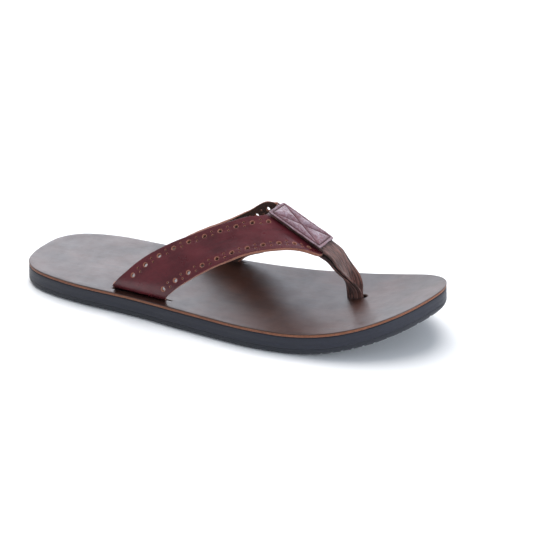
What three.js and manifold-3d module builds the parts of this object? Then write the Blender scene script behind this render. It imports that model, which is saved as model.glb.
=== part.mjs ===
// A right-foot leather thong sandal (flip flop): a treaded rubber outsole, a foam midsole and a leather
// footbed, with two perforated strap arms that come up through slits in the footbed, meet under a stitched
// patch on the instep, and run down to the sole as a two-ply toe post.
// Millimetres. +X points to the toe, +Y to the big-toe (medial) side, +Z up. The builders below work in
// coordinates measured from the back of the heel, and the group moves them to the middle of the sole.
import * as THREE from "three";
import { mergeVertices } from "three/addons/utils/BufferGeometryUtils.js";
import Module from "manifold-3d";

const wasm = await Module();
wasm.setup();

// ---------------------------------------------------------------- driving dimensions
const GAP = 0.3; // cement line, or free play, between two pieces that touch
const CLEAR = 4; // how far a cutter runs on outside the piece that it cuts
const ROUND_SIDES = 24; // of the disc and its pocket

const OUTSOLE_THICKNESS = 4.0;
const MIDSOLE_THICKNESS = 6.8;
const FOOTBED_THICKNESS = 2.2;
const MIDSOLE_BASE = OUTSOLE_THICKNESS + GAP;
const MIDSOLE_TOP = MIDSOLE_BASE + MIDSOLE_THICKNESS;
const FOOTBED_BASE = MIDSOLE_TOP + GAP;
const SOLE_HEIGHT = FOOTBED_BASE + FOOTBED_THICKNESS;
const SOLE_LENGTH = 285;
const SOLE_FLARE = 0.8; // how much wider the sole is at the ground than at the footbed, on each side
const SOLE_HALF_WIDTH = 50;
const SOLE_STATIONS = 44;
const OUTLINE_POINTS = 960;
const SOLE_ROUNDING = [[0, 2.8], [0.5, 1.5], [1.4, 0.5], [2.6, 0]]; // [height, inset] up its bottom edge
const SPRING_START = 200; // where the sole starts to curve up towards the toe
const TOE_SPRING = 20.5; // how far its tip is clear of the ground

const TREAD_DEPTH = 1.2;
const TREAD_WIDTH = 2.2;
const TREAD_PITCH = 6;
const TREAD_ZIGZAG = 2.4; // how far each groove swings fore and aft
const TREAD_TURNS = 8;
const TREAD_REACH = 62; // half the length of a groove, past both sides of the sole
const ARCH_START = 108; // the waist of the sole has no tread
const ARCH_END = 158;

const STRAP_THICKNESS = 2.2;
const STRAP_STATIONS = 40;
const STRAP_COLUMNS = 4;
const SLIT_SPARE = 4; // how far each slit in the footbed runs on beyond the strap's toe-side edge
const TAB_LEVEL = MIDSOLE_TOP - STRAP_THICKNESS / 2; // middle of the strap's hidden end

const PUNCH_RADIUS = 1.2;
const PUNCH_PITCH = 10; // about, between the holes of a row
const PUNCH_INSET = 5.3; // from the strap's edge to the middle of the row
const PUNCH_FIRST = { heel: 14, toe: 7.5 }; // from the footbed to the first hole of the row at each edge
const PUNCH_LAST = 3.4; // from its last hole to the patch
const PUNCH_SIDES = 8;
const PUNCH_MARGIN = 1.4; // least leather between a hole and the strap's long edges
const MOST_SKEW = 1.35; // how much further across the arm a row may stand where the arm's edges run askew

const PATCH_LENGTH = 40;
const PATCH_WIDTH = 20.5;
const PATCH_THICKNESS = 1.5;
const SEAM_INSET = 2.0; // from the patch's edge to its stitching
const THREAD_WIDTH = 0.8;
const THREAD_HEIGHT = 0.6;

const PLY_THICKNESS = 1.2;
const PLY_WIDTH = 17.6;
const PLY_STATIONS = 24;
const PLY_STEP = PLY_THICKNESS + 0.25; // between the middles of the two plies where they are folded together
const PART_START = 0.36; // how far along the plies stop being parted by the arms, and where they meet
const PART_END = 0.78;
const FOLD_HIGH = 37; // the height at which the plies start to fold as they run down, and where they end
const FOLD_LOW = 16;
const FRONT_FOLD = 0.85; // middle radius of the front ply's fold
const BACK_FOLD = FRONT_FOLD + PLY_STEP;
const POST_X = 225.8; // where the toe post's fold has its centre, at the footbed
const POST_Y = 12.5;
const POST_SLOT_RADIUS = BACK_FOLD + PLY_THICKNESS / 2 + GAP;
const POST_SLOT_LENGTH = PLY_WIDTH / 2 + 0.6; // from the fold's centre to the slot's front arc centre

const PIN_RADIUS = 0.6;
const PIN_LEVEL = 6.1; // above the underside of the sole
const PIN_LENGTH = 12;
const PIN_FORWARD = 2.6; // in front of the fold's centre
const PIN_SIDES = 10;
const DISC_RADIUS = 12;
const DISC_THICKNESS = 1.6;
const DISC_BASE = PIN_LEVEL + PIN_RADIUS + GAP;
const DISC_TOP = DISC_BASE + DISC_THICKNESS;

const TACK_HEAD_RADIUS = 2.2;
const TACK_HEAD_THICKNESS = 0.7;
const TACK_SHANK_RADIUS = 0.6;
const TACK_TIP = 1.2; // length of its point
const TACK_LENGTH = 5.4;
const TACK_SIDES = 8;
const TACKS_PER_STRAP = 3;
const TACK_REACH = 0.45; // how far out the tacks stand on the strap's hidden end

// Half outlines of the footbed, heel to toe, as [x, y].
const LATERAL_OUTLINE = [
  [1.5, -11], [6, -22.5], [18, -33.5], [50, -42.3], [98, -45.4], [142, -50.3], [182, -54], [213, -51.6],
  [240, -44.4], [262, -30.6], [277.4, -12.6],
];
const MEDIAL_OUTLINE = [
  [2, 21], [11.5, 33], [35, 40.4], [80, 40.5], [142, 39.6], [181, 44], [211, 50.8], [240, 51.2], [264, 43.4],
  [279.5, 27],
];
const HEEL_TIP = [0, 4];
const TOE_TIP = [SOLE_LENGTH, 7];

// The vamp is where the arms, the toe post and the patch lie flat on each other: a sloping plane that runs
// through the middle of the arms.
const VAMP_HEEL = new THREE.Vector3(167.3, 17.8, 60.4);
const VAMP_TOE = new THREE.Vector3(202.9, 16.4, 42.6);
const vampAlong = VAMP_TOE.clone().sub(VAMP_HEEL).normalize();
const vampAcross = new THREE.Vector3(0, 1, 0).addScaledVector(vampAlong, -vampAlong.y).normalize();
const vampUp = vampAlong.clone().cross(vampAcross);
const vampMatrix = new THREE.Matrix4().makeBasis(vampAlong, vampAcross, vampUp).setPosition(VAMP_HEEL);

function onVamp(along, across, up) {
  return new THREE.Vector3(along, across, up).applyMatrix4(vampMatrix).toArray();
}

const VAMP_FLAT = 10.4; // half the width over which the arms lie flat on the vamp
const ARM_HEEL = -1; // where the arms' edges cross the vamp, along it
const ARM_TOE = 42.5;
const PLY_FLAT_END = 43; // where the front ply starts to bend down
// and the way that it takes from there
const PLY_BENDS = [[212.4, 14.8, 40], [217.8, 13.9, 33.6], [221.6, 13.1, 25]];

// Each arm's middle surface, from its hidden end to the seam under the patch, as [x, y, z] along its
// heel-side edge and along its toe-side edge.
const ARMS = {
  lateral: {
    inward: 1,
    heel: [
      [84, -17, TAB_LEVEL], [81.2, -29.6, TAB_LEVEL], [81.2, -35.2, 13.6], [82.6, -40.8, 17.6],
      [86.8, -43, 21.8], [93.8, -39.7, 29], [102.8, -33.4, 37], [114.6, -25.8, 44.4],
      [129.3, -17.6, 51], [145, -8.2, 57.4], [157.6, 0.2, 61.2],
      onVamp(ARM_HEEL, -VAMP_FLAT, 0), onVamp(ARM_HEEL, -VAMP_FLAT / 2, 0), onVamp(ARM_HEEL, -GAP / 2, 0),
    ],
    toe: [
      [117, -21, TAB_LEVEL], [118.8, -33.8, TAB_LEVEL], [119.6, -38.4, 13], [122.2, -42.4, 16.8],
      [128.7, -42.2, 23.3], [138, -38.9, 30.8], [149.4, -33.9, 37.8], [161.5, -27.6, 43.9],
      [173.3, -20, 47.7], [185.4, -11.8, 48.8], [196, -3.2, 47],
      onVamp(ARM_TOE, -VAMP_FLAT, 0), onVamp(ARM_TOE, -VAMP_FLAT / 2, 0), onVamp(ARM_TOE, -GAP / 2, 0),
    ],
  },
  medial: {
    inward: -1,
    heel: [
      [88, 15, TAB_LEVEL], [86, 28.6, TAB_LEVEL], [85, 33.4, 12.6], [85.4, 37.8, 16.2],
      [90, 39.2, 21.2], [97.8, 38, 26.4], [107.8, 35, 32.1], [118.6, 31.4, 38.4],
      [131.2, 28, 45.7], [144.6, 27.2, 54.2], [157.6, 28.4, 62.2],
      onVamp(-3.2, 10.6, 0), onVamp(-1.5, VAMP_FLAT / 2, 0), onVamp(ARM_HEEL, GAP / 2, 0),
    ],
    toe: [
      [131, 15, TAB_LEVEL], [132.6, 30, TAB_LEVEL], [133.4, 34.4, 12.6], [136.4, 38.4, 15.8],
      [142.6, 39.8, 18.4], [149.8, 40.2, 21.4], [157.8, 40, 26.2], [165.2, 39.2, 32.6],
      [173.4, 37.4, 39.2], [183.4, 33.8, 43.6], [193.8, 30.2, 45.4],
      onVamp(ARM_TOE, VAMP_FLAT, 0), onVamp(ARM_TOE, VAMP_FLAT / 2, 0), onVamp(ARM_TOE, GAP / 2, 0),
    ],
  },
};
const EXIT_SHARE = 3 / 13; // how far along its edge curves an arm has come out of the footbed
const PATCH_SHARE = 11 / 13; // and where it runs under the patch

const COLOURS = {
  rubber: { color: 0x24252b, roughness: 0.75, metalness: 0 },
  foam: { color: 0x2a2b32, roughness: 0.85, metalness: 0 },
  footbed: { color: 0x4a2f26, roughness: 0.42, metalness: 0 },
  strap: { color: 0x5a2228, roughness: 0.35, metalness: 0 },
  suede: { color: 0x5d4036, roughness: 0.9, metalness: 0 },
  thread: { color: 0x4c1a22, roughness: 0.7, metalness: 0 },
  fibre: { color: 0x8a6a4a, roughness: 0.9, metalness: 0 },
  steel: { color: 0x9a9da2, roughness: 0.35, metalness: 1 },
};

// ---------------------------------------------------------------- meshes and solids
// A closed mesh between two matching grids of points, the upper one and the lower one.
function thickSheet(upper, lower) {
  const rows = upper.length;
  const columns = upper[0].length;
  const points = [...upper.flat(), ...lower.flat()];
  const triangles = [];
  const top = (i, j) => i * columns + j;
  const base = (i, j) => (rows + i) * columns + j;
  const same = (a, b) => points[a].distanceToSquared(points[b]) < 1e-8;
  const triangle = (a, b, c) => {
    if (!same(a, b) && !same(b, c) && !same(a, c)) triangles.push(a, b, c);
  };
  const quad = (a, b, c, d) => {
    triangle(a, b, c);
    triangle(a, c, d);
  };
  for (let i = 0; i < rows - 1; i++) {
    for (let j = 0; j < columns - 1; j++) {
      quad(top(i, j), top(i + 1, j), top(i + 1, j + 1), top(i, j + 1));
      quad(base(i, j), base(i, j + 1), base(i + 1, j + 1), base(i + 1, j));
    }
    quad(top(i, 0), base(i, 0), base(i + 1, 0), top(i + 1, 0));
    quad(top(i, columns - 1), top(i + 1, columns - 1), base(i + 1, columns - 1), base(i, columns - 1));
  }
  for (let j = 0; j < columns - 1; j++) {
    quad(top(0, j), top(0, j + 1), base(0, j + 1), base(0, j));
    quad(top(rows - 1, j), base(rows - 1, j), base(rows - 1, j + 1), top(rows - 1, j + 1));
  }
  const geometry = new THREE.BufferGeometry().setFromPoints(points);
  geometry.setIndex(triangles);
  return geometry;
}

function toSolid(geometry) {
  const bare = geometry.clone();
  bare.deleteAttribute("normal");
  bare.deleteAttribute("uv");
  const merged = mergeVertices(bare, 1e-4);
  const mesh = new wasm.Mesh({
    numProp: 3,
    vertProperties: merged.attributes.position.array,
    triVerts: new Uint32Array(merged.index.array),
  });
  return new wasm.Manifold(mesh);
}

function toGeometry(solid) {
  const mesh = solid.getMesh();
  const geometry = new THREE.BufferGeometry();
  geometry.setAttribute("position", new THREE.BufferAttribute(mesh.vertProperties, mesh.numProp));
  geometry.setIndex(new THREE.BufferAttribute(mesh.triVerts, 1));
  return geometry;
}

// The geometry with every cutter taken away from it.
function cut(geometry, cutters) {
  const solid = cutters.reduce((left, cutter) => left.subtract(toSolid(cutter)), toSolid(geometry));
  return toGeometry(solid);
}

// Geometry made along +Z, stood on a point along a direction.
function stand(geometry, point, direction) {
  const turn = new THREE.Quaternion().setFromUnitVectors(new THREE.Vector3(0, 0, 1), direction);
  return geometry.applyQuaternion(turn).translate(point.x, point.y, point.z);
}

// A solid of revolution about +Z from [radius, height] pairs.
function turned(profile, sides) {
  const points = profile.map(([radius, height]) => new THREE.Vector2(radius, height));
  return new THREE.LatheGeometry(points, sides).rotateX(Math.PI / 2);
}

function rod(radius, from, to, sides) {
  return turned([[0, from], [radius, from], [radius, to], [0, to]], sides);
}

// ---------------------------------------------------------------- the sole
// A point of the sole, h above its underside.
function onSole(x, y, h) {
  const share = Math.max(0, x - SPRING_START) / (SOLE_LENGTH - SPRING_START);
  return new THREE.Vector3(x, y, h + TOE_SPRING * share ** 2);
}

function soleNormal(x) {
  const slope = (2 * TOE_SPRING * Math.max(0, x - SPRING_START)) / (SOLE_LENGTH - SPRING_START) ** 2;
  return new THREE.Vector3(-slope, 0, 1).normalize();
}

const outlineKnots = [HEEL_TIP, ...LATERAL_OUTLINE, TOE_TIP, ...MEDIAL_OUTLINE.toReversed()];
const outline = new THREE.CatmullRomCurve3(
  outlineKnots.map(([x, y]) => new THREE.Vector3(x, y, 0)),
  true,
  "centripetal",
).getPoints(OUTLINE_POINTS);
const toePoint = outline.reduce((best, p) => (p.x > best.x ? p : best));
const heelPoint = outline.reduce((best, p) => (p.x < best.x ? p : best));

// The outline on one side, from heel to toe: side is -1 for the lateral one and 1 for the medial one.
function outlineSide(side) {
  const half = outline.filter(({ x, y }) => {
    const middle = THREE.MathUtils.mapLinear(x, heelPoint.x, toePoint.x, heelPoint.y, toePoint.y);
    return side * (y - middle) > 0;
  });
  return [heelPoint, ...half.sort((a, b) => a.x - b.x), toePoint];
}

const sides = { [-1]: outlineSide(-1), [1]: outlineSide(1) };

function outlineAt(x, side) {
  const points = sides[side];
  const next = Math.max(1, points.findIndex((p) => p.x >= x));
  const [a, b] = [points[next - 1], points[next]];
  return b.x > a.x ? THREE.MathUtils.mapLinear(x, a.x, b.x, a.y, b.y) : b.y;
}

// A slice of the sole: level is [height, inset from the footbed's outline] for each ring from the bottom up.
function soleLayer(levels) {
  const stations = SOLE_STATIONS;
  const loop = 2 * stations;
  const lateral = (k) => k;
  const medial = (k) => (k === 0 ? 0 : loop - k);
  const points = [];
  for (const [height, inset] of levels) {
    const lengthwise = 1 - (2 * inset) / SOLE_LENGTH;
    const sideways = 1 - inset / SOLE_HALF_WIDTH;
    for (let i = 0; i < loop; i++) {
      const k = i <= stations ? i : loop - i;
      const share = (1 - Math.cos((Math.PI * k) / stations)) / 2;
      const x = THREE.MathUtils.lerp(heelPoint.x, toePoint.x, share);
      const spine = (outlineAt(x, -1) + outlineAt(x, 1)) / 2;
      const y = k === 0 || k === stations ? spine : outlineAt(x, i < stations ? -1 : 1);
      const insetX = SOLE_LENGTH / 2 + (x - SOLE_LENGTH / 2) * lengthwise;
      points.push(onSole(insetX, spine + (y - spine) * sideways, height));
    }
  }
  const triangles = [];
  const last = (levels.length - 1) * loop;
  for (let ring = 0; ring < last; ring += loop) {
    for (let i = 0; i < loop; i++) {
      const next = (i + 1) % loop;
      triangles.push(ring + i, ring + next, ring + loop + next);
      triangles.push(ring + i, ring + loop + next, ring + loop + i);
    }
  }
  for (let k = 0; k < stations; k++) {
    const corners = [lateral(k), lateral(k + 1), medial(k + 1), medial(k)];
    const faces = [[0, 1, 2], [0, 2, 3]].map((face) => face.map((c) => corners[c]));
    for (const [a, b, c] of faces) {
      if (a === b || b === c || a === c) continue;
      triangles.push(last + a, last + b, last + c);
      triangles.push(a, c, b);
    }
  }
  const geometry = new THREE.BufferGeometry().setFromPoints(points);
  geometry.setIndex(triangles);
  return geometry;
}

function flareAt(height) {
  return -SOLE_FLARE * (1 - height / SOLE_HEIGHT);
}

// One zigzag groove across the underside.
function treadGroove(x) {
  const left = [];
  const right = [];
  for (let k = 0; k <= TREAD_TURNS; k++) {
    const y = THREE.MathUtils.lerp(-TREAD_REACH, TREAD_REACH, k / TREAD_TURNS);
    const swing = (k % 2 ? 0.5 : -0.5) * TREAD_ZIGZAG;
    left.push(new THREE.Vector2(swing - TREAD_WIDTH / 2, y));
    right.push(new THREE.Vector2(swing + TREAD_WIDTH / 2, y));
  }
  const shape = new THREE.Shape([...right, ...left.toReversed()]);
  const groove = new THREE.ExtrudeGeometry(shape, { depth: CLEAR + TREAD_DEPTH, bevelEnabled: false });
  return stand(groove.translate(0, 0, -CLEAR), onSole(x, 0, 0), soleNormal(x));
}

function outsole() {
  const levels = [...SOLE_ROUNDING, [OUTSOLE_THICKNESS, 0]].map(([h, inset]) => [h, inset + flareAt(h)]);
  const grooves = [];
  for (let x = TREAD_PITCH; x < SOLE_LENGTH - TREAD_WIDTH; x += TREAD_PITCH) {
    if (x < ARCH_START || x > ARCH_END) grooves.push(treadGroove(x));
  }
  return cut(soleLayer(levels), grooves);
}

function midsole() {
  const levels = [MIDSOLE_BASE, MIDSOLE_TOP].map((h) => [h, flareAt(h)]);
  const pockets = Object.values(ARMS).map((arm) => armRoom(arm, GAP));
  const tackHoles = Object.values(ARMS).flatMap(tackPoints).map((point) => at(tackRoom(), point));
  return cut(soleLayer(levels), [...pockets, ...tackHoles, postSlot(), discPocket()]);
}

function footbed() {
  const levels = [[FOOTBED_BASE, 0], [SOLE_HEIGHT, 0]];
  const slits = Object.values(ARMS).map((arm) => armRoom(arm, SLIT_SPARE));
  return cut(soleLayer(levels), [...slits, postSlot()]);
}

// The slot that the folded toe post runs down through.
function postSlot() {
  const shape = new THREE.Shape();
  shape.absarc(0, 0, POST_SLOT_RADIUS, Math.PI / 2, (3 * Math.PI) / 2);
  shape.absarc(POST_SLOT_LENGTH - POST_SLOT_RADIUS, 0, POST_SLOT_RADIUS, -Math.PI / 2, Math.PI / 2);
  const depth = SOLE_HEIGHT + 2 * CLEAR;
  const slot = new THREE.ExtrudeGeometry(shape, { depth, curveSegments: 10, bevelEnabled: false });
  return atPost(slot.translate(0, 0, -CLEAR));
}

// Geometry made round the Z axis, stood in the sole where the toe post runs down into it.
function atPost(geometry) {
  return stand(geometry, onSole(POST_X, POST_Y, 0), soleNormal(POST_X));
}

function discPocket() {
  return atPost(rod(DISC_RADIUS + GAP, -CLEAR, DISC_TOP + GAP, ROUND_SIDES));
}

// ---------------------------------------------------------------- tacks
function tack() {
  const profile = [
    [0, -TACK_LENGTH], [TACK_SHANK_RADIUS, TACK_TIP - TACK_LENGTH], [TACK_SHANK_RADIUS, -TACK_HEAD_THICKNESS],
    [TACK_HEAD_RADIUS, -TACK_HEAD_THICKNESS], [TACK_HEAD_RADIUS, 0], [0, 0],
  ];
  return turned(profile, TACK_SIDES);
}

// The room that a tack takes in the leather and the foam round it.
function tackRoom() {
  const [head, shank] = [TACK_HEAD_RADIUS + GAP, TACK_SHANK_RADIUS + GAP];
  const [under, tip] = [-TACK_HEAD_THICKNESS - GAP, -TACK_LENGTH - GAP];
  return turned([[0, tip], [shank, tip], [shank, under], [head, under], [head, 1], [0, 1]], TACK_SIDES);
}

function tackPoints({ heel, toe }) {
  const points = [];
  for (let k = 0; k < TACKS_PER_STRAP; k++) {
    const share = (k + 0.75) / (TACKS_PER_STRAP + 0.5);
    const [x, inner] = [0, 1].map((axis) => THREE.MathUtils.lerp(heel[0][axis], toe[0][axis], share));
    const outer = THREE.MathUtils.lerp(heel[1][1], toe[1][1], share);
    points.push(new THREE.Vector3(x, THREE.MathUtils.lerp(inner, outer, TACK_REACH), MIDSOLE_TOP));
  }
  return points;
}

function at(geometry, point) {
  return geometry.translate(point.x, point.y, point.z);
}

// ---------------------------------------------------------------- strap arms
function smoothLine(points) {
  return new THREE.CatmullRomCurve3(points.map((p) => new THREE.Vector3(...p)), false, "centripetal");
}

// A point of an arm's middle surface: along it from the hidden end, and across it from its heel-side edge.
function armSurface({ heel, toe }) {
  const heelEdge = smoothLine(heel);
  const toeEdge = smoothLine(toe);
  return (along, across) => heelEdge.getPoint(along).lerp(toeEdge.getPoint(along), across);
}

// The normal of an arm's middle surface, on the side that shows.
function armNormal({ inward }, surface, along, across) {
  const step = 1e-3;
  const start = Math.min(along, 1 - step);
  const forward = surface(start + step, across).sub(surface(start, across));
  const sideways = surface(start, across + step).sub(surface(start, across));
  return forward.cross(sideways).multiplyScalar(-inward).normalize();
}

// An arm as a sheet: spread makes it thicker on both faces, and the margins make it wider past its edges.
function armSheet(arm, spread, heelMargin, toeMargin) {
  const surface = armSurface(arm);
  const outer = [];
  const inner = [];
  for (let i = 0; i <= STRAP_STATIONS; i++) {
    const along = i / STRAP_STATIONS;
    const width = surface(along, 0).distanceTo(surface(along, 1));
    const outerRow = [];
    const innerRow = [];
    for (let j = 0; j <= STRAP_COLUMNS; j++) {
      const across = THREE.MathUtils.lerp(-heelMargin / width, 1 + toeMargin / width, j / STRAP_COLUMNS);
      const middle = surface(along, across);
      if (i === 0) middle.y += arm.inward * spread;
      const offset = armNormal(arm, surface, along, across).multiplyScalar(STRAP_THICKNESS / 2 + spread);
      outerRow.push(middle.clone().add(offset));
      innerRow.push(middle.clone().sub(offset));
    }
    outer.push(outerRow);
    inner.push(innerRow);
  }
  return arm.inward > 0 ? thickSheet(inner, outer) : thickSheet(outer, inner);
}

// The room that an arm needs in the footbed and in the midsole.
function armRoom(arm, toeMargin) {
  return armSheet(arm, GAP, GAP, toeMargin);
}

function strapArm(arm) {
  const tackHoles = tackPoints(arm).map((point) => at(tackRoom(), point));
  return cut(armSheet(arm, 0, 0, 0), [...armPunches(arm), ...tackHoles]);
}

// Where the big holes stand in the row that runs beside one edge of an arm: evenly spaced between its ends.
function punchShares(rowPoint, first) {
  const steps = 400;
  const shareAt = (i) => THREE.MathUtils.lerp(EXIT_SHARE, PATCH_SHARE, i / steps);
  const walked = [0];
  for (let i = 1; i <= steps; i++) {
    walked.push(walked[i - 1] + rowPoint(shareAt(i)).distanceTo(rowPoint(shareAt(i - 1))));
  }
  const row = walked[steps] - first - PUNCH_LAST;
  const gaps = Math.round(row / PUNCH_PITCH);
  const wanted = Array.from({ length: gaps + 1 }, (_, k) => first + (row * k) / gaps);
  return wanted.map((distance) => shareAt(walked.findIndex((length) => length >= distance)));
}

// The share across an arm at which its row of holes runs: inset from one long edge, square to that edge.
function rowAcross(surface, along, fromHeel) {
  const step = 1e-3;
  const edge = fromHeel ? 0 : 1;
  const wide = surface(along, 1).sub(surface(along, 0));
  const run = surface(along + step, edge).sub(surface(along, edge)).normalize();
  const square = wide.clone().cross(run).length();
  const inset = PUNCH_INSET / Math.max(square, wide.length() / MOST_SKEW);
  return fromHeel ? inset : 1 - inset;
}

function clearsEdges(surface, point) {
  const steps = 400;
  for (let i = 0; i <= steps; i++) {
    const nearest = Math.min(...[0, 1].map((edge) => surface(i / steps, edge).distanceTo(point)));
    if (nearest < PUNCH_RADIUS + PUNCH_MARGIN) return false;
  }
  return true;
}

// Cutters for the two rows of round holes along an arm.
function armPunches(arm) {
  const surface = armSurface(arm);
  const cutters = [];
  for (const fromHeel of [true, false]) {
    const acrossAt = (along) => rowAcross(surface, along, fromHeel);
    const first = fromHeel ? PUNCH_FIRST.heel : PUNCH_FIRST.toe;
    for (const along of punchShares((share) => surface(share, acrossAt(share)), first)) {
      const across = acrossAt(along);
      if (!clearsEdges(surface, surface(along, across))) continue;
      const normal = armNormal(arm, surface, along, across);
      cutters.push(stand(rod(PUNCH_RADIUS, -CLEAR, CLEAR, PUNCH_SIDES), surface(along, across), normal));
    }
  }
  return cutters;
}

// ---------------------------------------------------------------- patch and stitching
const PLY_OFFSET = STRAP_THICKNESS / 2 + GAP + PLY_THICKNESS / 2;
const PATCH_BASE = PLY_OFFSET + PLY_THICKNESS / 2 + GAP;
const PATCH_TOP = PATCH_BASE + PATCH_THICKNESS;

// A triangle whose sides are all moved inwards by the same distance.
function insetTriangle(corners, inset) {
  const sides = corners.map((_, i) => corners[(i + 1) % 3].distanceTo(corners[(i + 2) % 3]));
  const [a, b, c] = sides;
  const perimeter = a + b + c;
  const area = Math.sqrt((perimeter / 2) * (perimeter / 2 - a) * (perimeter / 2 - b) * (perimeter / 2 - c));
  const centre = new THREE.Vector2();
  corners.forEach((corner, i) => centre.addScaledVector(corner, sides[i] / perimeter));
  const share = 1 - (inset * perimeter) / (2 * area);
  return corners.map((corner) => centre.clone().lerp(corner, share));
}

// The run of stitching in the patch's own frame: a rectangle with a cross in it, made wider by grow.
function seamRun(grow, from, to) {
  const half = THREAD_WIDTH / 2 + grow;
  const [x0, x1] = [SEAM_INSET, PATCH_LENGTH - SEAM_INSET];
  const y = PATCH_WIDTH / 2 - SEAM_INSET;
  const corner = (x, side) => new THREE.Vector2(x, side * y);
  const corners = [corner(x0, -1), corner(x1, -1), corner(x1, 1), corner(x0, 1)];
  const crossing = new THREE.Vector2((x0 + x1) / 2, 0);
  const [left, right, reach] = [x0 - half, x1 + half, y + half];
  const frame = [[left, -reach], [right, -reach], [right, reach], [left, reach]];
  const shape = new THREE.Shape(frame.map((point) => new THREE.Vector2(...point)));
  corners.forEach((first, i) => {
    const triangle = [first, corners[(i + 1) % 4], crossing];
    shape.holes.push(new THREE.Path(insetTriangle(triangle, half)));
  });
  return new THREE.ExtrudeGeometry(shape, { depth: to - from, bevelEnabled: false }).translate(0, 0, from);
}

function seamThread(from, to) {
  return seamRun(0, from, to).applyMatrix4(vampMatrix);
}

function vampPatch() {
  const middle = PATCH_BASE + PATCH_THICKNESS / 2;
  const sheet = new THREE.BoxGeometry(PATCH_LENGTH, PATCH_WIDTH, PATCH_THICKNESS);
  const channel = seamRun(GAP, PATCH_TOP - THREAD_HEIGHT, PATCH_TOP + 1);
  return cut(sheet.translate(PATCH_LENGTH / 2, 0, middle), [channel]).applyMatrix4(vampMatrix);
}

// ---------------------------------------------------------------- toe post
// The front ply runs down from between the patch and the arms, the back ply from under the arms. Both
// start flat, and are folded lengthwise, with their long edges forward, by the time they reach the footbed.
// The front ply's middle line, along the bottom of its fold:
function postLine() {
  const onTheVamp = [0.05, 0.35, 0.65, 0.88, 1].map((share) => onVamp(share * PLY_FLAT_END, 0, PLY_OFFSET));
  const end = MIDSOLE_BASE + GAP;
  const inSole = [SOLE_HEIGHT + 1, (SOLE_HEIGHT + end) / 2, end].map((h) => {
    const { x, y, z } = onSole(POST_X, POST_Y, 0).addScaledVector(soleNormal(POST_X), h);
    return [x - FRONT_FOLD, y, z];
  });
  return smoothLine([...onTheVamp, ...PLY_BENDS, ...inSole]);
}

// Half a ply's cross-section at a distance out from its middle, as [sideways, forward, direction].
function foldedPoint(distance, reach, turn) {
  const curvature = turn / reach;
  const angle = curvature * Math.min(distance, reach);
  const leg = Math.max(0, distance - reach);
  return [
    Math.sin(angle) / curvature + leg * Math.cos(angle),
    (1 - Math.cos(angle)) / curvature + leg * Math.sin(angle),
    angle,
  ];
}

function postPly(isBack) {
  const line = postLine();
  const front = [];
  const back = [];
  for (let i = 0; i <= PLY_STATIONS; i++) {
    const share = i / PLY_STATIONS;
    const folded = 1 - THREE.MathUtils.smoothstep(line.getPoint(share).z, FOLD_LOW, FOLD_HIGH);
    const turn = Math.max(1e-3, (Math.PI / 2) * folded);
    const frontReach = THREE.MathUtils.lerp(0.45 * PLY_WIDTH, (Math.PI / 2) * FRONT_FOLD, folded);
    const reach = frontReach + (isBack ? turn * PLY_STEP : 0);
    const parted = 1 - THREE.MathUtils.smoothstep(share, PART_START, PART_END);
    const behind = isBack ? THREE.MathUtils.lerp(PLY_STEP, 2 * PLY_OFFSET, parted) : 0;
    const along = line.getTangent(share);
    const across = new THREE.Vector3(0, 1, 0).addScaledVector(along, -along.y).normalize();
    const forward = along.clone().cross(across);
    const bottom = line.getPoint(share).addScaledVector(forward, -behind);
    const bend = [-1, -2 / 3, -1 / 3, 0, 1 / 3, 2 / 3, 1].map((part) => part * reach);
    const distances = [-PLY_WIDTH / 2, ...bend, PLY_WIDTH / 2];
    const rows = distances.map((distance) => {
      const side = Math.sign(distance) || 1;
      const [sideways, ahead, angle] = foldedPoint(Math.abs(distance), reach, turn);
      const middle = bottom.clone().addScaledVector(across, side * sideways).addScaledVector(forward, ahead);
      const facing = forward.clone().multiplyScalar(Math.cos(angle));
      facing.addScaledVector(across, -side * Math.sin(angle));
      return [1, -1].map((face) => middle.clone().addScaledVector(facing, (face * PLY_THICKNESS) / 2));
    });
    front.push(rows.map(([towardsToe]) => towardsToe));
    back.push(rows.map(([, towardsHeel]) => towardsHeel));
  }
  return cut(thickSheet(front, back), [pin(GAP)]);
}

// The pin that runs across under the anchor disc, through both plies.
function pin(grow) {
  const half = PIN_LENGTH / 2 + grow;
  const upright = rod(PIN_RADIUS + grow, -half, half, PIN_SIDES);
  return atPost(upright.rotateX(Math.PI / 2).translate(PIN_FORWARD, 0, PIN_LEVEL));
}

function anchorDisc() {
  return cut(atPost(rod(DISC_RADIUS, DISC_BASE, DISC_TOP, ROUND_SIDES)), [postSlot()]);
}

// ---------------------------------------------------------------- the assembly
const flipFlop = new THREE.Group();
flipFlop.name = "flip_flop";

function addPiece(name, geometry, finish) {
  const mesh = new THREE.Mesh(geometry, new THREE.MeshStandardMaterial(COLOURS[finish]));
  mesh.name = name;
  flipFlop.add(mesh);
}

addPiece("outsole", outsole(), "rubber");
addPiece("midsole", midsole(), "foam");
addPiece("footbed", footbed(), "footbed");

for (const [side, arm] of Object.entries(ARMS)) {
  addPiece(`${side}_strap`, strapArm(arm), "strap");
  tackPoints(arm).forEach((point, k) => addPiece(`${side}_strap_tack_${k + 1}`, at(tack(), point), "steel"));
}

addPiece("vamp_patch", vampPatch(), "strap");
addPiece("toe_post_front_ply", postPly(false), "suede");
addPiece("toe_post_back_ply", postPly(true), "suede");
addPiece("patch_top_thread", seamThread(PATCH_TOP - THREAD_HEIGHT + GAP, PATCH_TOP + GAP), "thread");
const bobbinTop = -PLY_OFFSET - PLY_THICKNESS / 2 - GAP;
addPiece("patch_bobbin_thread", seamThread(bobbinTop - THREAD_HEIGHT, bobbinTop), "thread");
addPiece("toe_post_anchor_disc", anchorDisc(), "fibre");
addPiece("toe_post_pin", pin(0), "steel");

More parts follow.
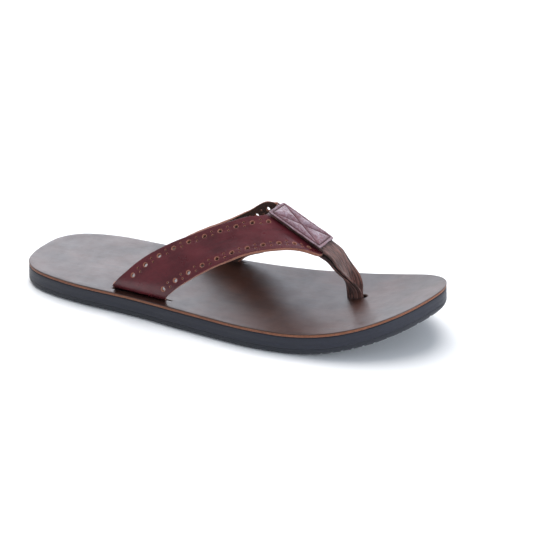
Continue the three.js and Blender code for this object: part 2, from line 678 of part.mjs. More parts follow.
// The origin stands under the middle of the object's box.
const box = new THREE.Box3().setFromObject(flipFlop);
const middle = box.getCenter(new THREE.Vector3());
flipFlop.children.forEach((piece) => piece.position.set(-middle.x, -middle.y, -box.min.z));

export default flipFlop;
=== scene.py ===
"""Looks of the leather thong sandal: detailed leather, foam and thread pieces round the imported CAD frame.

Shapes are built in millimetres, measured from the back of the heel as the CAD part is, and place() moves them
into the frame. +X runs from heel to toe, +Y is the big-toe side, +Z is up.
"""

import math

import bmesh
import bpy
import numpy as np
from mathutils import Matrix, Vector
from mathutils.geometry import delaunay_2d_cdt


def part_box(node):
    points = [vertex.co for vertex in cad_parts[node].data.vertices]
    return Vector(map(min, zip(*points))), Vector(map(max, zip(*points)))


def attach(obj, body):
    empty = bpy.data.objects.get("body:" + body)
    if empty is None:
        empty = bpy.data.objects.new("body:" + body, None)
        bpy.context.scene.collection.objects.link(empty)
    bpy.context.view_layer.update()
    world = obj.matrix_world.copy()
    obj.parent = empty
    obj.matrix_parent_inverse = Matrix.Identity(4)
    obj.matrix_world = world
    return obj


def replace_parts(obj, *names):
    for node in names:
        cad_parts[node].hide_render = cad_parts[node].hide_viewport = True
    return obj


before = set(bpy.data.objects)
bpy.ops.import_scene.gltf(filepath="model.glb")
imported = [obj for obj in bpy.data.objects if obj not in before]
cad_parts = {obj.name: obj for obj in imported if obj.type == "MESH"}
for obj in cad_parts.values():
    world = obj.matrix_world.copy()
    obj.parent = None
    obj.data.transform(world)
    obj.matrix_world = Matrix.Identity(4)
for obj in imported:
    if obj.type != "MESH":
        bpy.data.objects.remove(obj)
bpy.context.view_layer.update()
MM = 0.001

# ------------------------------------------------------------------ driving dimensions, in millimetres
GAP = 0.3
SOLE_LENGTH = 285.0
SOLE_FLARE = 0.8
SPRING_START = 200.0
TOE_SPRING = 20.5
OUTSOLE_TOP = 4.0
MIDSOLE_BASE, MIDSOLE_TOP = 4.3, 11.1
FOOTBED_BASE, SOLE_HEIGHT = 11.4, 13.6

TREAD_DEPTH, TREAD_WIDTH, TREAD_PITCH, TREAD_ZIGZAG = 1.2, 2.2, 6.0, 2.4
TREAD_TURNS, TREAD_REACH = 8, 62.0
ARCH_START, ARCH_END = 108.0, 158.0

STRAP_THICKNESS = 2.2
SLIT_SPARE = 4.0
TAB_LEVEL = MIDSOLE_TOP - STRAP_THICKNESS / 2
SLIT_SHARE, EXIT_SHARE, PATCH_SHARE = 2.2 / 13, 3 / 13, 11 / 13
SLIT_HALF_WIDTH = 2.4
SLIT_CORNER, SLIT_END = 0.4, 0.08  # its corner radius, and how much of its width is left at its tapered end
PUNCH_RADIUS, PUNCH_PITCH, PUNCH_INSET, PUNCH_LAST = 1.2, 10, 5.3, 3.4
FIRST_FROM_HEEL, FIRST_FROM_TOE = 14, 7.5
PUNCH_MARGIN, MOST_SKEW = 1.4, 1.35
PIN_HOLE_RADIUS, PIN_HOLE_SPREAD = 0.55, 3.0

PATCH_LENGTH, PATCH_WIDTH, PATCH_THICKNESS, SEAM_INSET = 40.0, 20.5, 1.5, 2.0
PLY_THICKNESS, PLY_WIDTH, PLY_STEP = 1.2, 17.6, 1.45
PART_START, PART_END, FOLD_HIGH, FOLD_LOW, FRONT_FOLD = 0.36, 0.78, 37.0, 16.0, 0.85
PLY_OFFSET = STRAP_THICKNESS / 2 + GAP + PLY_THICKNESS / 2
PATCH_BASE = PLY_OFFSET + PLY_THICKNESS / 2 + GAP
PATCH_TOP = PATCH_BASE + PATCH_THICKNESS
POST_X, POST_Y = 225.8, 12.5
POST_SLOT_RADIUS, POST_SLOT_LENGTH = 3.2, 8.2  # it ends just in front of the folded plies
PLY_EDGE = 0.25  # the rounding of a ply's long edges

SLAB_POINTS, FOOTBED_POINTS = 720, 620  # round the sole's outline
CUT_WAVE = 0.22  # how uneven the cut sides are
PATCH_CORNER = 1.1
CREASE_DEPTH = 0.65  # how far the stitching pulls the patch's face down
STITCH_RADIUS, STITCH_PITCH = 0.33, 2.3
STITCH_SIDES, STITCH_RINGS = 8, 9
SMALL = 1e-3  # a step along a curve, to take its direction

LATERAL_OUTLINE = [
    (1.5, -11), (6, -22.5), (18, -33.5), (50, -42.3), (98, -45.4), (142, -50.3), (182, -54), (213, -51.6),
    (240, -44.4), (262, -30.6), (277.4, -12.6),
]
MEDIAL_OUTLINE = [
    (2, 21), (11.5, 33), (35, 40.4), (80, 40.5), (142, 39.6), (181, 44), (211, 50.8), (240, 51.2),
    (264, 43.4), (279.5, 27),
]
HEEL_TIP, TOE_TIP = (0, 4), (SOLE_LENGTH, 7)


def middle_of(node):
    low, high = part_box(node)
    return (low + high) / 2


# the CAD frame has its origin under the middle of the object's box
SHIFT = np.array([
    middle_of("footbed").x / MM - SOLE_LENGTH / 2,
    middle_of("toe_post_pin").y / MM - POST_Y,
    0.0,
])


def place(points):
    return (np.asarray(points, float) + SHIFT) * MM


def unit(vectors):
    return vectors / np.linalg.norm(vectors, axis=-1, keepdims=True)


def smoothstep(values, low, high):
    share = np.clip((np.asarray(values, float) - low) / (high - low), 0, 1)
    return share * share * (3 - 2 * share)


# ------------------------------------------------------------------ curves
def spline(points, closed=False):
    """A centripetal Catmull-Rom curve through the points, as a function of parameters from 0 to 1."""
    knots = np.asarray(points, float)
    count = len(knots)
    if closed:
        padded = np.vstack([knots[-1:], knots, knots[:2]])
    else:
        padded = np.vstack([2 * knots[0] - knots[1], knots, 2 * knots[-1] - knots[-2]])
    spans = count if closed else count - 1
    steps = np.sqrt(np.linalg.norm(np.diff(padded, axis=0), axis=1))

    def at(share):
        place_on = np.clip(np.atleast_1d(np.asarray(share, float)), 0, 1) * spans
        i = np.minimum(place_on.astype(int), spans - 1)
        t = (place_on - i)[:, None]
        p0, p1, p2, p3 = (padded[i + k] for k in range(4))
        d0, d1, d2 = (steps[i + k][:, None] for k in range(3))
        m1 = ((p1 - p0) / d0 - (p2 - p0) / (d0 + d1) + (p2 - p1) / d1) * d1
        m2 = ((p2 - p1) / d1 - (p3 - p1) / (d1 + d2) + (p3 - p2) / d2) * d1
        return p1 + m1 * t + (3 * (p2 - p1) - 2 * m1 - m2) * t**2 + (2 * (p1 - p2) + m1 + m2) * t**3

    return at


def walked_along(points):
    """The distance walked along a line of points, at each of them."""
    return np.concatenate([[0], np.cumsum(np.linalg.norm(np.diff(points, axis=0), axis=1))])


def waves(x, y, seed, size, octaves=3):
    """A smooth wandering value in about -1..1 from sums of slanted sine waves, size apart."""
    rng = np.random.default_rng(seed)
    total = np.zeros(np.broadcast(x, y).shape)
    weight = 0.0
    for octave in range(octaves):
        scale = 2 * math.pi * 1.7**octave / size
        for _ in range(4):
            angle, phase = rng.uniform(0, 2 * math.pi, 2)
            total += np.sin(scale * (x * math.cos(angle) + y * math.sin(angle)) + phase) / 1.6**octave
            weight += 0.5 / 1.6**octave
    return total / weight


# ------------------------------------------------------------------ meshes
def make_object(name, points, faces, materials, face_materials=None, attributes=None):
    """A mesh object from points in millimetres and faces, with point attributes for its materials to read."""
    mesh = bpy.data.meshes.new(name)
    mesh.from_pydata(place(points).tolist(), [], [list(map(int, face)) for face in faces])
    for material in materials:
        mesh.materials.append(material)
    if face_materials is not None:
        mesh.polygons.foreach_set("material_index", np.asarray(face_materials, np.int32))
    mesh.polygons.foreach_set("use_smooth", [True] * len(mesh.polygons))
    for key, values in (attributes or {}).items():
        values = np.asarray(values, np.float32)
        if values.ndim == 1:
            mesh.attributes.new(key, "FLOAT", "POINT").data.foreach_set("value", values)
        else:
            mesh.attributes.new(key, "FLOAT_VECTOR", "POINT").data.foreach_set("vector", values.ravel())
    mesh.validate()
    mesh.update()
    piece = bpy.data.objects.new(name, mesh)
    bpy.context.scene.collection.objects.link(piece)
    face_outwards(piece)
    return piece


def face_outwards(piece):
    made = bmesh.new()
    made.from_mesh(piece.data)
    bmesh.ops.recalc_face_normals(made, faces=made.faces)
    made.to_mesh(piece.data)
    made.free()


def tube_faces(base, sides, rings):
    """The faces of a closed tube whose rings of points start at base."""
    faces = []
    for ring in range(rings - 1):
        a = base + ring * sides
        for i in range(sides):
            b = (i + 1) % sides
            faces.append((a + i, a + b, a + sides + b, a + sides + i))
    last = base + (rings - 1) * sides
    return faces + [tuple(range(base, base + sides)), tuple(range(last, last + sides))]


def triangulate(loops, inner_points):
    """Triangles over a flat region: the first loop is its outline and the others are convex holes in it."""
    points = [tuple(p) for loop in loops for p in loop]
    owner = [k for k, loop in enumerate(loops) for _ in loop]
    edges = []
    start = 0
    for loop in loops:
        edges += [(start + i, start + (i + 1) % len(loop)) for i in range(len(loop))]
        start += len(loop)
    points += [tuple(p) for p in inner_points]
    owner += [-1] * len(inner_points)
    flat, _, faces, sources, _, _ = delaunay_2d_cdt([Vector(p) for p in points], edges, [], 1, 1e-7)
    origin = [source[0] for source in sources]
    kept = []
    for face in faces:
        owners = {owner[origin[v]] for v in face}
        if len(owners) == 1 and next(iter(owners)) > 0:
            continue
        kept.append([origin[v] for v in face])
    return np.array(points), kept


def inside(points, loop):
    """Which of the points lie inside a closed flat loop."""
    x, y = points[:, 0], points[:, 1]
    found = np.zeros(len(points), bool)
    for (x0, y0), (x1, y1) in zip(loop, np.roll(loop, -1, axis=0)):
        crosses = (y0 > y) != (y1 > y)
        if y0 != y1:
            found ^= crosses & (x < (x1 - x0) * (y - y0) / (y1 - y0) + x0)
    return found


def clear_of(points, loop, distance):
    gaps = np.linalg.norm(points[:, None, :] - np.asarray(loop)[None, :, :], axis=2)
    return gaps.min(axis=1) > distance


def leather_sheet(name, loops_at, profile, spacing, surface, materials, strip_materials, relief=None, raw=1):
    """A sheet with thickness over a flat pattern.

    loops_at(inset) gives the outline and the holes with their edges moved inset into the leather. profile is
    the edge's rounding as (inset, height) from the top face to the bottom face, whose insets are the same.
    surface(pattern points, heights) puts them in space, and relief(pattern points) raises the top face. The
    top face, the outline's strips and the bottom face take the strip_materials in turn, and the walls of the
    holes all take the material numbered raw.
    """
    loops = loops_at(profile[0][0])
    outline = np.asarray(loops[0])
    low, high = outline.min(axis=0), outline.max(axis=0)
    across, along = np.meshgrid(
        np.arange(low[0], high[0], spacing), np.arange(low[1], high[1], spacing * 0.866), indexing="ij"
    )
    across = across + (np.arange(across.shape[1]) % 2)[None, :] * spacing / 2
    grid = np.column_stack([across.ravel(), along.ravel()])
    grid = grid[inside(grid, outline)]
    for k, loop in enumerate(loops):
        if k:
            grid = grid[~inside(grid, np.asarray(loop))]
        grid = grid[clear_of(grid, loop, spacing * (0.6 if k == 0 else 0.45))]
    flat, triangles = triangulate(loops, grid)
    rise = relief(flat) if relief else np.zeros(len(flat))
    points = [surface(flat, profile[0][1] + rise), surface(flat, np.full(len(flat), profile[-1][1]))]
    patterns = [flat, flat]
    faces = [tuple(t) for t in triangles] + [tuple(len(flat) + v for v in reversed(t)) for t in triangles]
    indices = [strip_materials[0]] * len(triangles) + [strip_materials[-1]] * len(triangles)
    used = 2 * len(flat)
    rings = [np.arange(len(np.concatenate(loops)))]
    ring_rise = rise[: len(rings[0])]
    for level, (inset, height) in enumerate(profile[1:-1], 1):
        ring = np.concatenate(loops_at(inset))
        share = np.clip((height - profile[-1][1]) / (profile[0][1] - profile[-1][1]), 0, 1)
        points.append(surface(ring, height + ring_rise * share))
        patterns.append(ring)
        rings.append(used + np.arange(len(ring)))
        used += len(ring)
    rings.append(len(flat) + rings[0])
    start = 0
    for k, loop in enumerate(loops):
        count = len(loop)
        for level in range(len(rings) - 1):
            for i in range(count):
                a, b = start + i, start + (i + 1) % count
                faces.append((rings[level][a], rings[level][b], rings[level + 1][b], rings[level + 1][a]))
                indices.append(raw if k else strip_materials[level + 1])
        start += count
    pattern = np.vstack(patterns)
    flat_mm = np.column_stack([pattern, np.zeros(len(pattern))]) * MM
    return make_object(name, np.vstack(points), faces, materials, indices, {"pattern": flat_mm})


# ------------------------------------------------------------------ materials
class Shade:
    """A node material: a Principled shader and short calls for the nodes in front of it."""

    def __init__(self, name, **settings):
        self.material = bpy.data.materials.new(name)
        self.material.use_nodes = True
        self.nodes = self.material.node_tree.nodes
        self.links = self.material.node_tree.links
        self.shader = self.nodes["Principled BSDF"]
        for key, value in settings.items():
            self.shader.inputs[key.replace("_", " ")].default_value = value

    def node(self, kind, **values):
        made = self.nodes.new(kind)
        for key, value in values.items():
            setattr(made, key, value)
        return made

    def link(self, source, target):
        self.links.new(source, target)

    def where(self, attribute=None, stretch=(1, 1, 1)):
        """Coordinates in millimetres, from the object or a point attribute, stretched along their axes."""
        if attribute:
            source = self.node("ShaderNodeAttribute", attribute_name=attribute).outputs["Vector"]
        else:
            source = self.node("ShaderNodeTexCoord").outputs["Object"]
        mapping = self.node("ShaderNodeMapping")
        mapping.inputs["Scale"].default_value = [1000 * s for s in stretch]
        self.link(source, mapping.inputs["Vector"])
        return mapping.outputs["Vector"]

    def noise(self, vector, size, detail=3.0, roughness=0.55, distortion=0.0):
        made = self.node("ShaderNodeTexNoise")
        self.link(vector, made.inputs["Vector"])
        made.inputs["Scale"].default_value = 1 / size
        made.inputs["Detail"].default_value = detail
        made.inputs["Roughness"].default_value = roughness
        made.inputs["Distortion"].default_value = distortion
        return made.outputs["Fac"]

    def cells(self, vector, size):
        made = self.node("ShaderNodeTexVoronoi", feature="DISTANCE_TO_EDGE")
        self.link(vector, made.inputs["Vector"])
        made.inputs["Scale"].default_value = 1 / size
        return made.outputs["Distance"]

    def fit(self, value, low, high, out_low=0.0, out_high=1.0):
        made = self.node("ShaderNodeMapRange", interpolation_type="SMOOTHSTEP")
        self.link(value, made.inputs["Value"])
        for key, number in zip(("From Min", "From Max", "To Min", "To Max"), (low, high, out_low, out_high)):
            made.inputs[key].default_value = number
        return made.outputs["Result"]

    def value(self, name):
        return self.node("ShaderNodeAttribute", attribute_name=name).outputs["Fac"]

    def mix(self, share, first, second):
        made = self.node("ShaderNodeMix", data_type="RGBA", blend_type="MIX")
        for socket, colour in ((made.inputs[0], share), (made.inputs[6], first), (made.inputs[7], second)):
            if isinstance(colour, bpy.types.NodeSocket):
                self.link(colour, socket)
            elif isinstance(colour, (int, float)):
                socket.default_value = colour
            else:
                socket.default_value = (*colour, 1)
        return made.outputs[2]

    def times(self, first, second):
        made = self.node("ShaderNodeMath", operation="MULTIPLY")
        for socket, term in zip(made.inputs, (first, second)):
            if isinstance(term, bpy.types.NodeSocket):
                self.link(term, socket)
            else:
                socket.default_value = term
        return made.outputs[0]

    def bump(self, height, depth, below=None):
        """A bump of height 0..1 that is depth millimetres deep, over the bump below."""
        made = self.node("ShaderNodeBump")
        made.inputs["Distance"].default_value = depth * MM
        self.link(height, made.inputs["Height"])
        if below:
            self.link(below, made.inputs["Normal"])
        return made.outputs["Normal"]

    def finish(self, colour=None, roughness=None, normal=None):
        for key, source in (("Base Color", colour), ("Roughness", roughness), ("Normal", normal)):
            if source is not None:
                self.link(source, self.shader.inputs[key])
        return self.material


def grain(shade, vector, size, depth):
    """Fine leather grain: small pebbles with softer wrinkles between them."""
    pebbles = shade.fit(shade.cells(vector, size), 0.0, 0.28)
    wrinkles = shade.noise(vector, 4 * size, 4, 0.6, 0.6)
    return shade.bump(pebbles, depth, shade.bump(wrinkles, 3 * depth))


def strap_leather():
    """Oxblood leather with darker streaks along the strap and a few scuffs."""
    shade = Shade("strap_leather", Coat_Weight=0.12, Coat_Roughness=0.2, Specular_IOR_Level=0.38)
    spot = shade.where()
    clouds = shade.fit(shade.noise(spot, 22, 4, 0.6, 0.4), 0.3, 0.7)
    colour = shade.mix(clouds, (0.062, 0.0085, 0.012), (0.105, 0.016, 0.021))
    streaks = shade.fit(shade.noise(shade.where("pattern", (0.35, 1.6, 1)), 9, 5, 0.65), 0.42, 0.72)
    colour = shade.mix(shade.times(streaks, 0.45), colour, (0.030, 0.006, 0.009))
    scuffs = shade.fit(shade.noise(spot, 3.2, 6, 0.7, 1.2), 0.6, 0.78)
    colour = shade.mix(shade.times(scuffs, 0.22), colour, (0.20, 0.075, 0.07))
    roughness = shade.fit(shade.noise(spot, 7, 5, 0.6), 0.3, 0.75, 0.26, 0.5)
    return shade.finish(colour, roughness, grain(shade, spot, 0.75, 0.045))


def raw_edge(name, pale, dark):
    """The fibres of a cut edge."""
    shade = Shade(name, Specular_IOR_Level=0.25, Sheen_Weight=0.2)
    spot = shade.where()
    fibres = shade.noise(spot, 0.5, 5, 0.7, 1.0)
    patches = shade.noise(spot, 6, 3)
    colour = shade.mix(shade.fit(fibres, 0.3, 0.7), dark, pale)
    colour = shade.mix(shade.fit(patches, 0.5, 0.8, 0, 0.5), colour, dark)
    return shade.finish(colour, shade.fit(fibres, 0.2, 0.8, 0.7, 0.95), shade.bump(fibres, 0.12))


def flesh_side():
    """The matt, napped back of the leather."""
    shade = Shade("flesh_side", Specular_IOR_Level=0.2, Sheen_Weight=0.15)
    spot = shade.where()
    nap = shade.noise(spot, 0.7, 6, 0.75, 1.5)
    clouds = shade.noise(spot, 14, 3)
    colour = shade.mix(shade.fit(nap, 0.3, 0.7), (0.032, 0.017, 0.014), (0.090, 0.046, 0.036))
    colour = shade.mix(shade.fit(clouds, 0.45, 0.8, 0, 0.5), colour, (0.13, 0.060, 0.042))
    return shade.finish(colour, shade.fit(nap, 0.2, 0.8, 0.75, 0.95), shade.bump(nap, 0.2))


def patch_leather():
    """Padded leather, with painted shade in the creases and a painted pale sheen on top of the puffs."""
    shade = Shade(
        "patch_leather", Coat_Weight=0.3, Coat_Roughness=0.3, Sheen_Weight=0.28, Sheen_Roughness=0.4
    )
    spot = shade.where()
    puff = shade.value("puff")
    clouds = shade.fit(shade.noise(spot, 7, 5, 0.65, 0.8), 0.3, 0.72)
    colour = shade.mix(clouds, (0.105, 0.018, 0.026), (0.21, 0.062, 0.078))
    # painted sheen: a pale whitish colour, broken up in blotches, on the tops of the puffs where light
    # catches them
    blotches = shade.fit(shade.noise(spot, 2.4, 6, 0.7, 1.5), 0.34, 0.64, 0.12, 1.0)
    pale_scuffs_and_sheen = shade.times(blotches, puff)
    colour = shade.mix(shade.times(pale_scuffs_and_sheen, 0.7), colour, (0.46, 0.385, 0.45))
    # painted shade: the colour darkens towards the stitched creases
    colour = shade.mix(shade.fit(puff, 0.1, 0.5, 0.8, 0), colour, (0.060, 0.012, 0.019))
    wrinkles = shade.noise(spot, 1.7, 6, 0.7, 1.6)
    normal = shade.bump(wrinkles, 0.35, grain(shade, spot, 0.6, 0.06))
    return shade.finish(colour, shade.fit(wrinkles, 0.3, 0.7, 0.3, 0.52), normal)


def post_leather():
    """Fibrous leather with ribs along the ply."""
    shade = Shade("post_leather", Specular_IOR_Level=0.3, Sheen_Weight=0.25)
    ribs_at = shade.where("pattern", (1, 0.12, 1))
    spot = shade.where()
    ribs = shade.noise(ribs_at, 1.1, 4, 0.6, 0.3)
    nap = shade.noise(spot, 0.7, 6, 0.75, 1.0)
    colour = shade.mix(shade.fit(ribs, 0.41, 0.59), (0.032, 0.010, 0.008), (0.19, 0.080, 0.062))
    colour = shade.mix(shade.fit(nap, 0.5, 0.75, 0, 0.5), colour, (0.36, 0.22, 0.19))
    normal = shade.bump(ribs, 1.2, shade.bump(nap, 0.25))
    return shade.finish(colour, shade.fit(nap, 0.2, 0.8, 0.6, 0.9), normal)


def footbed_leather():
    """Polished smooth leather with faint lengthwise streaks."""
    shade = Shade("footbed_leather", Coat_Weight=0.15, Coat_Roughness=0.3, Specular_IOR_Level=0.6)
    spot = shade.where()
    lengthwise = shade.noise(shade.where(None, (0.09, 1, 1)), 2.4, 6, 0.65, 0.4)
    clouds = shade.noise(spot, 30, 4, 0.6, 0.5)
    colour = shade.mix(shade.fit(clouds, 0.3, 0.7), (0.030, 0.0125, 0.0095), (0.066, 0.027, 0.019))
    colour = shade.mix(shade.fit(lengthwise, 0.4, 0.75, 0, 0.55), colour, (0.018, 0.009, 0.008))
    flecks = shade.fit(shade.noise(spot, 1.1, 6, 0.7, 1.0), 0.63, 0.8, 0, 0.35)
    colour = shade.mix(flecks, colour, (0.12, 0.06, 0.045))
    roughness = shade.fit(shade.noise(spot, 9, 5, 0.65), 0.3, 0.75, 0.32, 0.42)
    normal = shade.bump(lengthwise, 0.06, grain(shade, spot, 0.9, 0.02))
    return shade.finish(colour, roughness, normal)


def foam(name, dark, pale, roughness):
    """Foam or rubber: speckled, with lengthwise scuffs that show paler."""
    shade = Shade(name, Specular_IOR_Level=0.35, Sheen_Weight=0.12, Sheen_Roughness=0.6)
    spot = shade.where()
    speckle = shade.noise(spot, 0.35, 4, 0.7)
    scuffs = shade.noise(shade.where(None, (0.12, 0.3, 1)), 1.6, 6, 0.7, 0.5)
    colour = shade.mix(shade.fit(speckle, 0.3, 0.7), dark, pale)
    pale_scuffs_and_sheen = tuple(min(1.0, 2.1 * c) for c in pale)
    colour = shade.mix(shade.fit(scuffs, 0.5, 0.8, 0, 0.45), colour, pale_scuffs_and_sheen)
    normal = shade.bump(speckle, 0.08, shade.bump(scuffs, 0.08))
    return shade.finish(colour, shade.fit(scuffs, 0.2, 0.8, roughness - 0.1, roughness + 0.1), normal)


def thread_fibre():
    shade = Shade("waxed_thread", Sheen_Weight=0.3, Specular_IOR_Level=0.4)
    twist = shade.noise(shade.where(None, (1, 1, 2.5)), 0.3, 3, 0.6)
    colour = shade.mix(shade.fit(twist, 0.3, 0.7), (0.010, 0.002, 0.004), (0.045, 0.009, 0.014))
    return shade.finish(colour, shade.fit(twist, 0.2, 0.8, 0.45, 0.7), shade.bump(twist, 0.06))


def pressed_board():
    shade = Shade("pressed_leatherboard", Specular_IOR_Level=0.2)
    flakes = shade.noise(shade.where(), 1.2, 5, 0.75, 1.0)
    colour = shade.mix(shade.fit(flakes, 0.3, 0.7), (0.13, 0.065, 0.032), (0.30, 0.17, 0.09))
    return shade.finish(colour, shade.fit(flakes, 0.2, 0.8, 0.75, 0.95), shade.bump(flakes, 0.1))


def steel():
    shade = Shade("tack_steel", Metallic=1.0)
    brushed = shade.noise(shade.where(None, (1, 1, 0.15)), 0.3, 4, 0.6)
    colour = shade.mix(brushed, (0.42, 0.42, 0.44), (0.66, 0.66, 0.68))
    return shade.finish(colour, shade.fit(brushed, 0.2, 0.8, 0.25, 0.45), shade.bump(brushed, 0.02))


def paper_floor():
    shade = Shade("pale_floor", Specular_IOR_Level=0.1, Roughness=0.9)
    fibres = shade.noise(shade.where(), 40, 3)
    colour = shade.mix(fibres, (0.945, 0.945, 0.95), (0.965, 0.965, 0.97))
    return shade.finish(colour)


LEATHER = strap_leather()
EDGE = raw_edge("raw_edge", (0.45, 0.195, 0.125), (0.13, 0.045, 0.03))
FLESH = flesh_side()
FOOTBED_EDGE = raw_edge("footbed_raw_edge", (0.34, 0.135, 0.07), (0.085, 0.030, 0.018))


# ------------------------------------------------------------------ the sole
def on_sole(x, y, h):
    """A point of the sole at a height above its underside, lifted by the toe spring."""
    share = np.maximum(0, np.asarray(x) - SPRING_START) / (SOLE_LENGTH - SPRING_START)
    return np.stack(np.broadcast_arrays(x, y, h + TOE_SPRING * share**2), axis=-1).astype(float)


def sole_normal(x):
    past = np.maximum(0, np.asarray(x, float) - SPRING_START)
    slope = 2 * TOE_SPRING * past / (SOLE_LENGTH - SPRING_START) ** 2
    return unit(np.stack([-slope, np.zeros_like(slope), np.ones_like(slope)], axis=-1))


whole_outline = spline([HEEL_TIP, *LATERAL_OUTLINE, TOE_TIP, *MEDIAL_OUTLINE[::-1]], closed=True)
fine_outline = whole_outline(np.linspace(0, 1, 2401)[:-1])


def sole_outline(count):
    """The footbed's outline as a loop of evenly spaced points."""
    ring = np.vstack([fine_outline, fine_outline[:1]])
    walked = walked_along(ring)
    at = np.linspace(0, walked[-1], count + 1)[:-1]
    return np.column_stack([np.interp(at, walked, ring[:, k]) for k in (0, 1)])


def moved_in(loop, inset):
    """A loop that runs from the heel along the lateral side, with every point moved inset into it."""
    tangent = unit(np.roll(loop, -1, axis=0) - np.roll(loop, 1, axis=0))
    distance = np.broadcast_to(inset, len(loop))[:, None]
    return loop + distance * np.column_stack([-tangent[:, 1], tangent[:, 0]])


def flare(height):
    """The inset at a height, negative because the sole is wider towards the ground."""
    return -SOLE_FLARE * (1 - height / SOLE_HEIGHT)


def lofted_slab(name, rings, material):
    """A closed slab from loops of points that all have the same count, from the bottom one up."""
    count = len(rings[0])
    faces = []
    for level in range(len(rings) - 1):
        for i in range(count):
            a, b = level * count + i, level * count + (i + 1) % count
            faces.append((a, b, b + count, a + count))
    last = (len(rings) - 1) * count
    for k in range(count // 2):
        strip = (k, k + 1, count - 1 - k, (count - k) % count)
        for base in (0, last):
            corners = list(dict.fromkeys(base + corner for corner in strip))
            if len(corners) > 2:
                faces.append(tuple(corners))
    return make_object(name, np.vstack(rings), faces, [material])


def slab_rings(levels):
    """The sole's outline at each level, given as (height, inset), with the waviness of a cut side."""
    loop = sole_outline(SLAB_POINTS)
    uneven = CUT_WAVE * waves(loop[:, 0], loop[:, 1], 5, 46)
    rings = []
    for height, inset in levels:
        ring = moved_in(loop, inset + flare(height) + uneven)
        rings.append(on_sole(ring[:, 0], ring[:, 1], height))
    return rings


def midsole():
    bottom, top = MIDSOLE_BASE - 0.25, MIDSOLE_TOP + 0.2
    levels = [(bottom, 0.15), (bottom + 0.12, 0.03)]
    levels += [(h, 0.05 * math.cos(1.9 * (h - bottom))) for h in np.linspace(bottom + 0.6, top - 0.6, 9)]
    levels += [(top - 0.2, 0.15), (top, 0.5)]
    charcoal = foam("charcoal_foam", (0.008, 0.009, 0.016), (0.017, 0.019, 0.032), 0.62)
    slab = lofted_slab("midsole_foam", slab_rings(levels), charcoal)
    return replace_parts(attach(slab, "root"), "midsole")


def groove_cutter():
    """All the zigzag grooves of the tread as one mesh."""
    points, faces = [], []
    section = ((-0.6, -4), (0.6, -4), (0.42, TREAD_DEPTH), (-0.42, TREAD_DEPTH))  # (widths, height)
    for x in np.arange(TREAD_PITCH, SOLE_LENGTH - TREAD_WIDTH, TREAD_PITCH):
        if ARCH_START <= x <= ARCH_END:
            continue
        base = len(points)
        foot = on_sole(x, 0.0, 0.0)
        up = sole_normal(x)
        forward = np.array([up[2], 0, -up[0]])
        for k in range(TREAD_TURNS + 1):
            y = -TREAD_REACH + 2 * TREAD_REACH * k / TREAD_TURNS
            swing = (0.5 if k % 2 else -0.5) * TREAD_ZIGZAG
            for side, height in section:
                ahead = forward * (swing + side * TREAD_WIDTH)
                points.append(foot + ahead + up * height + np.array([0, y, 0]))
        faces += tube_faces(base, len(section), TREAD_TURNS + 1)
    return make_object("tread_cutter", points, faces, [])


def apply_modifiers(piece):
    bpy.context.view_layer.update()
    evaluated = piece.evaluated_get(bpy.context.evaluated_depsgraph_get())
    mesh = bpy.data.meshes.new_from_object(evaluated)
    piece.modifiers.clear()
    piece.data = mesh


def outsole():
    levels = [(0, 2.8), (0.12, 2.2), (0.35, 1.65), (0.75, 1.05), (1.3, 0.55), (1.9, 0.22), (2.6, 0.03)]
    levels += [(3.2, 0.0), (3.85, 0.0), (OUTSOLE_TOP, 0.12)]
    rubber = foam("black_rubber", (0.009, 0.010, 0.015), (0.017, 0.019, 0.028), 0.66)
    slab = lofted_slab("outsole_rubber", slab_rings(levels), rubber)
    cutter = groove_cutter()
    cut = slab.modifiers.new("tread", "BOOLEAN")
    cut.object, cut.operation, cut.solver = cutter, "DIFFERENCE", "EXACT"
    apply_modifiers(slab)
    bpy.data.objects.remove(cutter)
    slab.data.polygons.foreach_set("use_smooth", [True] * len(slab.data.polygons))
    slab.data.set_sharp_from_angle(angle=math.radians(32))
    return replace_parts(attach(slab, "root"), "outsole")


def rounded_box_loop(low, high, radius):
    """A counter-clockwise loop round a rectangle with round corners."""
    steps = 6
    centres = [(high[0] - radius, high[1] - radius), (low[0] + radius, high[1] - radius),
               (low[0] + radius, low[1] + radius), (high[0] - radius, low[1] + radius)]
    loop = []
    for quarter, centre in enumerate(centres):
        for k in range(steps + 1):
            angle = math.pi / 2 * (quarter + k / steps)
            loop.append((centre[0] + radius * math.cos(angle), centre[1] + radius * math.sin(angle)))
    return np.array(loop)


def slit_loop(arm, inset):
    """The slit that an arm comes up through, opened out by inset."""
    heel, toe = (spline(arm[edge])(SLIT_SHARE)[0] for edge in ("heel", "toe"))
    along = unit(toe[:2] - heel[:2])
    half = (np.linalg.norm(toe[:2] - heel[:2]) + SLIT_SPARE + 1.0) / 2
    middle = (toe[:2] + heel[:2]) / 2 + along * SLIT_SPARE / 2
    across = np.array([-along[1], along[0]])
    slot = rounded_box_loop((-half - inset, -SLIT_HALF_WIDTH - inset),
                            (half + inset, SLIT_HALF_WIDTH + inset), SLIT_CORNER + inset)
    end = half - SLIT_SPARE - 0.5
    slot[:, 1] *= np.clip(1 - (slot[:, 0] - end) / (SLIT_SPARE + 0.5 + inset), SLIT_END, 1)
    return middle + slot[:, :1] * along + slot[:, 1:] * across


def post_slot_loop(inset):
    """The slot that the toe post goes down through: straight sides with a half circle at each end."""
    reach = POST_SLOT_LENGTH - POST_SLOT_RADIUS
    radius = POST_SLOT_RADIUS + inset
    angles = np.linspace(math.pi / 2, 3 * math.pi / 2, 14)
    back = np.column_stack([radius * np.cos(angles), radius * np.sin(angles)])
    front = np.column_stack([reach - radius * np.cos(angles), -radius * np.sin(angles)])
    return np.vstack([back, front]) + np.array([POST_X, POST_Y])


def hollow(flat, middle, reach, depth):
    """A soft round hollow worn into the footbed."""
    return -depth * np.exp(-(((flat - middle) / reach) ** 2).sum(axis=1))


